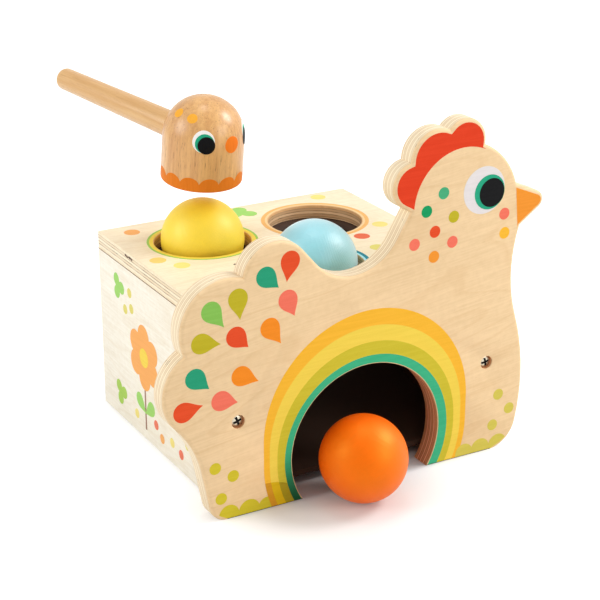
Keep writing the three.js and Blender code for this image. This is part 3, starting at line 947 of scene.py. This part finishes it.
def rainbow_band(i):
    band = bmesh.new()
    radius, rise, _ = RAINBOW[i]
    rainbow_line(band, RAINBOW_MIDDLE, radius, rise)
    if i + 1 < len(RAINBOW):
        rainbow_line(band, RAINBOW_MIDDLE, *RAINBOW[i + 1][:2])
    else:
        rainbow_line(band, 0.0, ARCH_RADIUS + ARCH_EDGE_ROUND, 0.0)
    bmesh.ops.bridge_loops(band, edges=band.edges[:])
    return trimmed(band, (0, GROUND_EDGE_ROUND), (0, -1))


def paint_rainbow():
    """Four bands round the arch. A mound is printed over the left foot of the outer three."""
    shapes = [(rainbow_band(i), colour, 0) for i, (_, _, colour) in enumerate(RAINBOW)]
    for i, foot_colour in enumerate(FOOT_INKS):
        foot = cut_flat(trimmed(rainbow_band(i), (0, 0), (1, 0)), disc(*MOUND), "INTERSECT")
        shapes.append((foot, foot_colour, 1))
    print_hen("rainbow", shapes)


GRASS_DOT_RADIUS = 3.2
GRASS_DOTS = [(-87.8, 29.8), (-77.9, 23.4), (-84.8, 12.2), (83.2, 31.8), (90.8, 22), (80.2, 14.2)]
GRASS_HUMPS = [
    (-80.5, 2.0, 5.7), (-69, 1.9, 6.0), (-58.5, 1.2, 5.6), (62, 1.6, 5.5), (72.5, 1.9, 5.9), (84, 1.9, 6.0),
]
HUMP_LEVELS = (0.2, 0.5)


def grass_ink(x):
    """The grass is paler on the breast's side."""
    return "pale_grass" if x > 0 else "grass"


def paint_grass():
    shapes = dots(GRASS_DOT_RADIUS, [(x, z, grass_ink(x)) for x, z in GRASS_DOTS])
    for i, (x, z, radius) in enumerate(GRASS_HUMPS):
        hump = trimmed(moved(dot(radius), x, z), (0, GROUND_EDGE_ROUND), (0, -1))
        hump = cut_flat(hump, slab(hen_face()), "INTERSECT")
        shapes.append((hump, grass_ink(x), HUMP_LEVELS[i % 2]))
    print_hen("grass", shapes)


# Box
# Dark brown of the walls' inner faces: painted shade for the inside of the box
INNER_PAINTED_SHADE = (74, 52, 38)
LEFT_FACE = tuple(SIDE_LOW)
RIGHT_FACE = tuple(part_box("right_side_panel")[1])
BACK_FACE = tuple(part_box("back_panel")[1])
TOP_FACE = (MIDDLE_X, FACE_Y, TOP_HIGH.z)
TOP_WOOD = (251, 235, 204)
HOLE_SHADE_WOOD = (232, 186, 132)
LEFT_WOOD = (249, 243, 228)
RIGHT_WOOD = (247, 238, 219)
BACK_WOOD = (247, 237, 216)
top_ply = plywood("top_plywood", TOP_FACE, "Z", BOARD_THICKNESS, TOP_WOOD, "X")
# Plywood of the hole walls, darker than the board's outer edges: painted shade
hole_shade_ply = plywood("hole_plywood", TOP_FACE, "Z", BOARD_THICKNESS, HOLE_SHADE_WOOD, "X", HOLE_SHADE_PLIES)
# Node, material, point on the outer face, axis through it, colour, grain
WALLS = [
    ("left_side_panel", "left_side_plywood", LEFT_FACE, "X", LEFT_WOOD, "Y"),
    ("right_side_panel", "right_side_plywood", RIGHT_FACE, "X", RIGHT_WOOD, "Y"),
    ("back_panel", "back_plywood", BACK_FACE, "Y", BACK_WOOD, "X"),
]
fibre = hardboard("dark_hardboard")
ring_rubber = rubber("grip_rubber")
steel = plated_steel("screw_steel")
# Near-black ink for the screws' cross recesses: painted shade
recess_black = ink("recess_black", RECESS_SHADE_COLOUR)
CUT_PAST = 5.0
FLAT_NORMAL = 0.97


def make_top_board():
    board = block(TOP_LOW, TOP_HIGH)
    tools = []
    for place in RING_PLACES:
        below = Vector((place.x, place.y, TOP_LOW.z - CUT_PAST * MM))
        shoulder = Vector((place.x, place.y, TOP_LOW.z + RING_THICKNESS * MM))
        above = Vector((place.x, place.y, TOP_HIGH.z + CUT_PAST * MM))
        tools.append(pin(HOLE_RADIUS * MM, below, above))
        tools.append(pin(RABBET_RADIUS * MM, below, shoulder))
    board = carved(board, tools)
    eased(board, sharp_edges(board), BOARD_EDGE_ROUND, 3)
    # Faces in the holes take the darker plywood: painted shade
    reach = (HOLE_RADIUS + BOARD_EDGE_ROUND) * MM
    for face in board.faces:
        middle = face.calc_center_median().xy
        in_hole = any((middle - place.xy).length < reach for place in RING_PLACES)
        face.material_index = int(in_hole and abs(face.normal.z) < FLAT_NORMAL)
    piece("top_board_dressed", board, [top_ply, hole_shade_ply], "box", ["top_board"])


def make_walls():
    for node, name, face, through, wood, along in WALLS:
        finish = plywood(name, face, through, BOARD_THICKNESS, wood, along, back=INNER_PAINTED_SHADE)
        board = block(*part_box(node))
        eased(board, sharp_edges(board), WALL_EDGE_ROUND, 2)
        piece(node + "_dressed", board, [finish], "box", [node])


LIP = 0.5
LIP_FOOT = 0.1
LIP_HEIGHT = 0.25


def make_rings():
    """Rubber rings that follow the ball, with a lip at each edge."""
    for node, place in zip(RING_NODES, RING_PLACES):
        low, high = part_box(node)
        outer = (high.x - low.x) / 2 / MM
        ball_height = (centre_of("yellow_ball").z - low.z) / MM
        lower, upper = [math.sqrt((BALL_RADIUS / MM) ** 2 - (ball_height - z) ** 2) + FIT_GAP
                        for z in (0, RING_THICKNESS)]
        profile = [(lower + LIP, 0), (outer, 0), (outer, RING_THICKNESS), (upper + LIP, RING_THICKNESS)]
        profile += [(upper + LIP_FOOT, RING_THICKNESS - LIP_HEIGHT), (lower + LIP_FOOT, LIP_HEIGHT)]
        ring = turned(profile + profile[:1])
        bmesh.ops.translate(ring, verts=ring.verts, vec=(place.x, place.y, low.z))
        piece(node + "_dressed", ring, [ring_rubber], "box", [node])


RING_PRINT_RADIUS = 30.7
# Ink of the outer band, ink of the inner band, radius where they meet
RING_PRINTS = {
    "grip_ring_yellow": ("ring_green", "ring_yellow", 29.4),
    "grip_ring_orange": ("ring_orange", "ring_cream", 28.5),
    "grip_ring_blue": ("teal", "pale_cyan", 28.5),
}


def annulus(outer, inner):
    bm = bmesh.new()
    for radius in (outer, inner):
        bmesh.ops.create_circle(bm, radius=radius, segments=128)
    bmesh.ops.bridge_loops(bm, edges=bm.edges[:])
    return bm


def toy_place(point):
    return (point.x - MIDDLE_X) / MM, (point.y - FACE_Y) / MM


TOP_DOT_RADIUS = 4.5
TOP_DOTS = [
    (-63.9, 148.1, "pale_orange"), (-70.2, 100.1, "pale_amber"), (-62.3, 87, "pale_yellow"),
    (57.7, 151.9, "pale_yellow"), (63.9, 92.5, "pale_yellow"), (44.5, 80.1, "ember"),
    (42.8, 60.5, "pale_olive"),
]
# Shares of a clover's size
CLOVER_ROUND = 0.46
CLOVER_REACH = 0.62
CLOVER_SPREAD = 0.55
# Share of a film between leaves or petals that overlap
LEAF_STEP = 0.3
PETAL_STEP = 0.15


def clover(u, v, size, angle, colour):
    """Three round leaves that meet at a point, each over the last."""
    leaves = []
    for i in range(3):
        leaf = drop(size * CLOVER_ROUND, size * CLOVER_REACH, 3)
        leaf = pointing_in(leaf, u, v, size * CLOVER_SPREAD, angle + math.tau * i / 3)
        leaves.append((leaf, colour, LEAF_STEP * i))
    return leaves


TOP_CLOVER = (4.6, 148.5, 9.5, 1.3, "leaf_green")
PIN_KNOT = (-37.2, 74.8)
PIN_KNOT_RADIUS = 0.8


def print_top():
    shapes = []
    for node, (outer_ink, inner_ink, split) in RING_PRINTS.items():
        x, y = toy_place(centre_of(node))
        shapes.append((moved(annulus(RING_PRINT_RADIUS, split), x, y), outer_ink, 0))
        shapes.append((moved(annulus(split, HOLE_RADIUS + BOARD_EDGE_ROUND), x, y), inner_ink, 0))
    shapes += dots(TOP_DOT_RADIUS, TOP_DOTS) + clover(*TOP_CLOVER)
    shapes.append((moved(dot(PIN_KNOT_RADIUS), *PIN_KNOT), "knot_brown", 0))
    printed("top_prints", shapes, on_top, "box")


SIDE_DOTS = [
    (118.7, 81.2, "pale_olive"), (125.2, 69.5, "pale_olive"), (116.8, 72.5, "pale_olive"),
    (114.1, 11, "pale_yellow"), (88.6, 14.4, "pale_coral"), (81.2, 9.2, "pale_orange"),
    (68.4, 12.4, "pale_yellow"), (49.6, 18.8, "pale_olive"), (57.4, 10.1, "pale_coral"),
]
SIDE_DOT_RADIUS = 2.8
SIDE_CLOVERS = [(133.6, 80.2, 7.8, 1.0, "leaf_green"), (135.2, 15.6, 7.8, 0.8, "moss")]
FLOWER = (102, 49)
FLOWER_PETALS = 6
PETAL_RADIUS = 7.2
PETAL_REACH = 12.0
FLOWER_HEART = 5.5
STEM_WIDTH = 1.7
STEM_FOOT = 6.0
LEAF_HEIGHT = 16.0
LEAF_RADIUS = 4.2
LEAF_REACH = 10.0
LEAF_DISTANCE = 9.5
LEAF_TURNS = (math.radians(35), math.radians(145))
OVER_STEM = 0.5
OVER_PETALS = 2


def flower():
    """A round flower on a stem, with two leaves."""
    u, v = FLOWER
    shapes = [(moved(bar(STEM_WIDTH, v - STEM_FOOT), u, (v + STEM_FOOT) / 2), "stem_brown", 0)]
    for i, turn in enumerate(LEAF_TURNS):
        leaf = pointing_in(drop(LEAF_RADIUS, LEAF_REACH, 5), u, LEAF_HEIGHT, LEAF_DISTANCE, turn)
        shapes.append((leaf, "leaf_green", OVER_STEM + LEAF_STEP * i))
    for i in range(FLOWER_PETALS):
        direction = math.tau * (i + 0.5) / FLOWER_PETALS
        petal = pointing_in(drop(PETAL_RADIUS, PETAL_REACH, 4), u, v, PETAL_REACH, direction)
        shapes.append((petal, "light_orange", OVER_STEM + PETAL_STEP * i))
    shapes.append((moved(dot(FLOWER_HEART), u, v), "yellow", OVER_PETALS))
    return shapes


# Dark streaks of a knot in the top board's left edge: along it, height, length
KNOT = [(116.2, 102.3, 3.2), (119.6, 101.9, 1.6), (121.6, 102.2, 1.8), (113.6, 102.1, 1.2)]
STREAK_RADIUS = 0.65
JOINT_WIDTH = 0.4


def print_sides():
    side_length = (SIDE_HIGH.y - SIDE_LOW.y) / MM
    side_middle = ((SIDE_HIGH.y + SIDE_LOW.y) / 2 - FACE_Y) / MM
    for name, surface in (("left_side_prints", on_left_side), ("right_side_prints", on_right_side)):
        shapes = dots(SIDE_DOT_RADIUS, SIDE_DOTS)
        for place in SIDE_CLOVERS:
            shapes += clover(*place)
        shapes += flower()
        # A brown line over the groove where the top board meets the side: painted shade
        joint = moved(bar(side_length, JOINT_WIDTH), side_middle, TOP_LOW.z / MM)
        shapes.append((joint, "joint_brown", 0))
        printed(name, shapes, surface, "box", "Y")
    streaks = [(moved(dot(STREAK_RADIUS, length), u, v), "knot_brown", 0) for u, v, length in KNOT]
    printed("top_board_knot", streaks, on_left_side, "box", "Y")


# Balls: paint, gloss, colour of the gloss, bloom, and how the wood under it is turned
BALLS = {
    "yellow_ball": ((255, 222, 54), 0.55, (255, 246, 200), 0.0, (0.5, 0.3, 0.2)),
    "blue_ball": ((118, 206, 220), 1.0, (255, 255, 255), 1.0, (1.1, 0.2, 0.9)),
    "orange_ball": ((252, 97, 0), 0.7, (255, 222, 80), 0.0, (0.3, 1.0, 0.4)),
}


def make_balls():
    for node, (colour, gloss, sheen, bloom, tilt) in BALLS.items():
        middle = centre_of(node)
        ball = bmesh.new()
        bmesh.ops.create_icosphere(ball, subdivisions=6, radius=BALL_RADIUS,
                                   matrix=Matrix.Translation(middle))
        finish = ball_paint(node + "_paint", colour, gloss, sheen, bloom, tuple(middle), tilt)
        piece(node + "_dressed", ball, [finish], node, [node])


# Hammer
HAMMER_PLACE = Vector((centre_of("yellow_ball").x, centre_of("yellow_ball").y,
                       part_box("yellow_ball")[1].z + HAMMER_HOVER * MM))
HAMMER_EULER = Euler((HAMMER_LIFT, 0, HAMMER_TURN))
HAMMER = Matrix.Translation(HAMMER_PLACE) @ HAMMER_EULER.to_matrix().to_4x4()
HAMMER_ORIGIN = (tuple(HAMMER_PLACE), tuple(HAMMER_EULER))
head_wood = turned_wood("head_wood", *HAMMER_ORIGIN, "Z", HEAD_COLOURS, pore_share=0.6)
handle_wood = turned_wood("handle_wood", *HAMMER_ORIGIN, "Y", HANDLE_COLOURS, pore_share=0.16)


def laid_back(depth):
    """From an upright shape to one that lies along the handle, at a depth from the head's axis."""
    return Matrix.Translation((0, depth * MM, HANDLE_HEIGHT * MM)) @ Matrix.Rotation(-math.pi / 2, 4, "X")


def make_hammer():
    rim = arc(HEAD_RADIUS - HEAD_RIM_ROUND, HEAD_RIM_ROUND, HEAD_RIM_ROUND, -90, 0, 6)
    dome = arc(0, HEAD_STRAIGHT, HEAD_RADIUS, 0, 90, 32)[:-1]
    head = turned([(0, 0), *rim, *dome, (0, HEAD_STRAIGHT + HEAD_RADIUS)], 128)
    socket = pin((HANDLE_ROOT_RADIUS + FIT_GAP) * MM, Vector((0, 0, SOCKET_FLOOR * MM)),
                 Vector((0, 0, 2 * HEAD_RADIUS * MM)), 64)
    bmesh.ops.transform(socket, matrix=laid_back(0), verts=socket.verts)
    head = carved(head, [socket])
    bmesh.ops.transform(head, matrix=HAMMER, verts=head.verts)
    piece("hammer_head_dressed", head, [head_wood], "hammer", ["hammer_head"])
    shoulder = HANDLE_LENGTH - HANDLE_END_ROUND
    end = arc(HANDLE_END_RADIUS - HANDLE_END_ROUND, shoulder, HANDLE_END_ROUND, 0, 90, 10)
    profile = [(0, 0), (HANDLE_ROOT_RADIUS, 0), (HANDLE_ROOT_RADIUS, SOCKET_DEPTH), *end, (0, HANDLE_LENGTH)]
    handle = turned(profile, 64)
    bmesh.ops.transform(handle, matrix=HAMMER @ laid_back(SOCKET_FLOOR + FIT_GAP), verts=handle.verts)
    piece("hammer_handle_dressed", handle, [handle_wood], "hammer", ["hammer_handle"])


def on_head(u, v, w):
    """u runs round the head, from the side away from the handle, and v up it, in millimetres."""
    angle = u / HEAD_RADIUS - math.pi / 2
    above = max(0.0, v - HEAD_STRAIGHT) / HEAD_RADIUS
    height = min(v, HEAD_STRAIGHT) + (HEAD_RADIUS + w) * math.sin(above)
    radius = (HEAD_RADIUS + w) * math.cos(above)
    return HAMMER @ Vector((radius * math.cos(angle) * MM, radius * math.sin(angle) * MM, height * MM))


DOT_RINGS = 4
DOT_RING_SHARE = 0.18


def rounded_dot(radius, stretch=1.0):
    """A dot with rings of faces, so that it can bend over the head."""
    bm = dot(radius, stretch)
    for _ in range(DOT_RINGS):
        widest = max(bm.faces, key=lambda face: len(face.verts))
        bmesh.ops.inset_individual(bm, faces=[widest], thickness=radius * DOT_RING_SHARE)
    return bm


# The eye's rounds, each on the last: radius, degrees from the front, height, ink
HAMMER_EYE = [(6.1, 43.4, 28.9, "bright_white"), (5.2, 41.8, 27.9, "iris"), (4.7, 39.3, 26.9, "pupil")]
SPOT_HEIGHT = 26.2
SPOT_RADIUS = 4.6
# Degrees from the front, height
FRECKLES = [(101, 41.2), (66.5, 40.6)]
FRECKLE_RADIUS = 2.75
FRECKLE_STRETCH = 1.4
BAND_SCALLOPS = 13
BAND_PEAK = 8.2
BAND_VALLEY = 3.9
BAND_FLANK = 2.73
BAND_EDGE = 0.1
BAND_PHASE = math.radians(2.07)


def round_head(degrees):
    return math.radians(degrees) * HEAD_RADIUS


def print_hammer():
    shapes = [(moved(rounded_dot(SPOT_RADIUS), 0, SPOT_HEIGHT), "spot_orange", 0)]
    for side in (-1, 1):
        for level, (radius, angle, height, colour) in enumerate(HAMMER_EYE):
            shapes.append((moved(rounded_dot(radius), side * round_head(angle), height), colour, level))
        for angle, height in FRECKLES:
            freckle = rounded_dot(FRECKLE_RADIUS, FRECKLE_STRETCH)
            shapes.append((moved(freckle, side * round_head(angle), height), "freckle", 0))
    printed("hammer_face", shapes, on_head, "hammer", "Z")


def scallop_height(angle):
    across = ((angle - BAND_PHASE) * BAND_SCALLOPS / math.tau) % 1 * 2 - 1
    return BAND_VALLEY + (BAND_PEAK - BAND_VALLEY) * math.sqrt(max(0.0, 1 - across * across))


def print_hammer_band():
    """An orange band round the striking end, over its rounded rim, with a scalloped top edge."""
    reach = HEAD_RADIUS + FILM
    rim = arc(HEAD_RADIUS - HEAD_RIM_ROUND, HEAD_RIM_ROUND, HEAD_RIM_ROUND + FILM, -90, 0, 6)
    profile = [*rim, (reach, BAND_FLANK), (reach, BAND_VALLEY), (HEAD_RADIUS - FILM_SINK, BAND_VALLEY)]
    band = turned(profile, BAND_SCALLOPS * 16)
    for vert in band.verts:
        if vert.co.z > (BAND_VALLEY - BAND_EDGE) * MM:
            vert.co.z = scallop_height(math.atan2(vert.co.y, vert.co.x)) * MM
    bmesh.ops.transform(band, matrix=HAMMER, verts=band.verts)
    piece("hammer_band", band, [ink_of("band_orange", "Z")], "hammer")


# Screws
CROWN_RADIUS = 7.0
CROWN_CENTRE = SCREW_HEAD_HEIGHT - CROWN_RADIUS
RECESS_SPAN = 4.7
RECESS_WIDTH = 1.3
RECESS_DEPTH = 1.0
RECESS_FLOOR = SCREW_HEAD_HEIGHT - RECESS_DEPTH
RECESS_TOP = 4.0
HEAD_EASE = 0.15
HEAD_FLANK = 0.8
CROWN_DEPTH = 0.12
SCREW_TURNS = {"front_screw_left": 0.35, "front_screw_right": 0.2}


def screw_profile():
    crown_edge = math.degrees(math.acos(SCREW_HEAD_RADIUS / CROWN_RADIUS))
    crown = arc(0, CROWN_CENTRE, CROWN_RADIUS, crown_edge, 90, 8)[:-1]
    profile = [(0, -SCREW_LENGTH), (SCREW_RADIUS, 2 * SCREW_RADIUS - SCREW_LENGTH), (SCREW_RADIUS, 0)]
    profile += [(SCREW_HEAD_RADIUS - HEAD_EASE, 0), (SCREW_HEAD_RADIUS, HEAD_EASE)]
    return profile + [(SCREW_HEAD_RADIUS, HEAD_FLANK), *crown, (0, SCREW_HEAD_HEIGHT)]


def in_recess(face):
    """Whether a face of a screw lies below the crown, in the recess."""
    middle = face.calc_center_median() / MM
    radius = math.hypot(middle.x, middle.y)
    crown_height = CROWN_CENTRE + math.sqrt(CROWN_RADIUS ** 2 - min(radius, SCREW_HEAD_RADIUS) ** 2)
    floor = RECESS_FLOOR - CROWN_DEPTH
    return radius < RECESS_SPAN / 2 and floor < middle.z < crown_height - CROWN_DEPTH


def make_front_screws():
    """Pan-head screws with a cross recess, sunk in the hen's face."""
    for (node, turn), place in zip(SCREW_TURNS.items(), SCREW_PLACES):
        slots = []
        for quarter in (0, math.pi / 2):
            reach = Vector((RECESS_SPAN / 2, RECESS_WIDTH / 2, 0))
            floor = Vector((0, 0, RECESS_FLOOR))
            above = Vector((0, 0, RECESS_TOP))
            slot = block((floor - reach) * MM, (above + reach) * MM)
            bmesh.ops.rotate(slot, verts=slot.verts, matrix=Matrix.Rotation(turn + quarter, 3, "Z"))
            slots.append(slot)
        screw = carved(turned(screw_profile(), 48), slots)
        # Faces in the cross recess take the near-black ink: painted shade
        for face in screw.faces:
            face.material_index = int(in_recess(face))
        seat = Matrix.Translation((place.x, FACE_Y + SCREW_SEAT_DEPTH * MM, place.z))
        bmesh.ops.transform(screw, matrix=seat @ Matrix.Rotation(math.pi / 2, 4, "X"), verts=screw.verts)
        piece(node + "_dressed", screw, [steel, recess_black], "box", [node])


def dress_inner_nodes():
    """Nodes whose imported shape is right, with finishes of their own."""
    dowel_wood = turned_wood("dowel_wood", (0, 0, 0), (0, 0, 0), "Z", DOWEL_COLOURS, pore_share=0.2)
    finishes = {
        "ring_plate": fibre, "ramp_board": fibre, "ramp_cleat": dowel_wood, "dowel": dowel_wood,
        "plate_screw": steel,
    }
    for name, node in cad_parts.items():
        for word, finish in finishes.items():
            if word in name:
                node.data.materials.clear()
                node.data.materials.append(finish)


make_hen()
paint_comb()
paint_beak()
paint_eye()
paint_neck_dots()
paint_feathers()
paint_rainbow()
paint_grass()
make_top_board()
make_walls()
make_rings()
print_top()
print_sides()
make_balls()
make_hammer()
print_hammer()
print_hammer_band()
make_front_screws()
dress_inner_nodes()


# Floor, light and camera
CAMERA_PLACE = (-414.9, -669.0, 415.0)
CAMERA_YAW = math.radians(29.287)
CAMERA_PITCH = math.radians(21.649)
CAMERA_LENS = 100.92
CAMERA_SENSOR = 36.0


def make_camera():
    data = bpy.data.cameras.new("camera")
    data.lens = CAMERA_LENS
    data.sensor_width = CAMERA_SENSOR
    camera = bpy.data.objects.new("camera", data)
    camera.location = at(*CAMERA_PLACE)
    camera.rotation_euler = (math.pi / 2 - CAMERA_PITCH, 0, -CAMERA_YAW)
    bpy.context.scene.collection.objects.link(camera)
    bpy.context.scene.camera = camera


def grey(level):
    return (level, level, level, 1)


FLOOR_SIZE = 6
FLOOR_COLOUR = grey(0.75)
FLOOR_ROUGHNESS = 0.9
BLACK = grey(0)
WHITE = grey(1)
# Glow of the floor by distance from a point in front of the arch, in millimetres
GLOW_MIDDLE = at(-30, -8, 0)
NEAR_GLOW = grey(0.08)
ROUND_GLOW = grey(0.44)
FAR_GLOW = grey(0.6)
NEAR_REACH = 22
ROUND_REACH = 85
FAR_REACH = 900
# Where the box's shade begins and ends, from the hen's face back and from the middle out
FRONT_SHADE = (-4, 2)
BACK_SHADE = (150, 165)
SIDE_SHADE = (74, 84)


def make_floor():
    """A white floor. Away from the toy it glows for the camera alone, where the lamps don't reach."""
    floor = bmesh.new()
    bmesh.ops.create_grid(floor, x_segments=1, y_segments=1, size=FLOOR_SIZE)
    finish = Finish("white_floor", Specular_IOR_Level=0.1, Emission_Strength=1.0)
    across, deep, _ = finish.axes(finish.place(tuple(GLOW_MIDDLE)))
    away = (across * across + deep * deep) ** 0.5
    glow = finish.mix(finish.ramp(away, NEAR_REACH, ROUND_REACH), NEAR_GLOW, ROUND_GLOW)
    glow = finish.mix(finish.ramp(away, ROUND_REACH, FAR_REACH), glow, FAR_GLOW)
    x, y, _ = finish.axes(finish.place(tuple(at(0, 0, 0))))
    in_depth = finish.ramp(y, *FRONT_SHADE) * (1 - finish.ramp(y, *BACK_SHADE))
    in_width = 1 - finish.ramp(x.math("ABSOLUTE"), *SIDE_SHADE)
    glow = finish.mix(in_depth * in_width, glow, BLACK)
    finish.plug(finish.shader.inputs["Emission Color"], finish.mix(finish.in_view(), BLACK, glow))
    finish.done(FLOOR_COLOUR, FLOOR_ROUGHNESS)
    made = bpy.data.objects.new("floor", mesh_of(floor, "floor"))
    made.data.materials.append(finish.material)
    bpy.context.scene.collection.objects.link(made)


LAMP_AIM = Vector((0, 0, 0.08))
# Name, place and width in metres, watts
LAMPS = [
    ("key_softbox", (1.3, -0.35, 1.15), 0.7, 16),
    ("left_softbox", (-1.3, 0.25, 0.75), 0.9, 10),
    ("front_fill", (0.8, -1.35, 0.7), 0.9, 7),
    ("overhead_softbox", (0.1, 0.15, 1.7), 0.45, 3),
]


def make_lamps():
    for name, place, width, watts in LAMPS:
        data = bpy.data.lights.new(name, "AREA")
        data.shape = "DISK"
        data.size = width
        data.energy = watts
        lamp = bpy.data.objects.new(name, data)
        lamp.location = place
        lamp.rotation_euler = (LAMP_AIM - Vector(place)).to_track_quat("-Z", "Y").to_euler()
        bpy.context.scene.collection.objects.link(lamp)


WORLD_LIGHT = grey(0.5)


def make_world():
    """Even light from all round, and white where the camera looks."""
    world = bpy.data.worlds.new("studio")
    nodes = Nodes(world)
    background = nodes.tree.nodes["Background"]
    nodes.plug(background.inputs["Color"], nodes.mix(nodes.in_view(), WORLD_LIGHT, WHITE))
    bpy.context.scene.world = world


make_camera()
make_floor()
make_world()
make_lamps()

bpy.context.scene.view_settings.view_transform = "Standard"
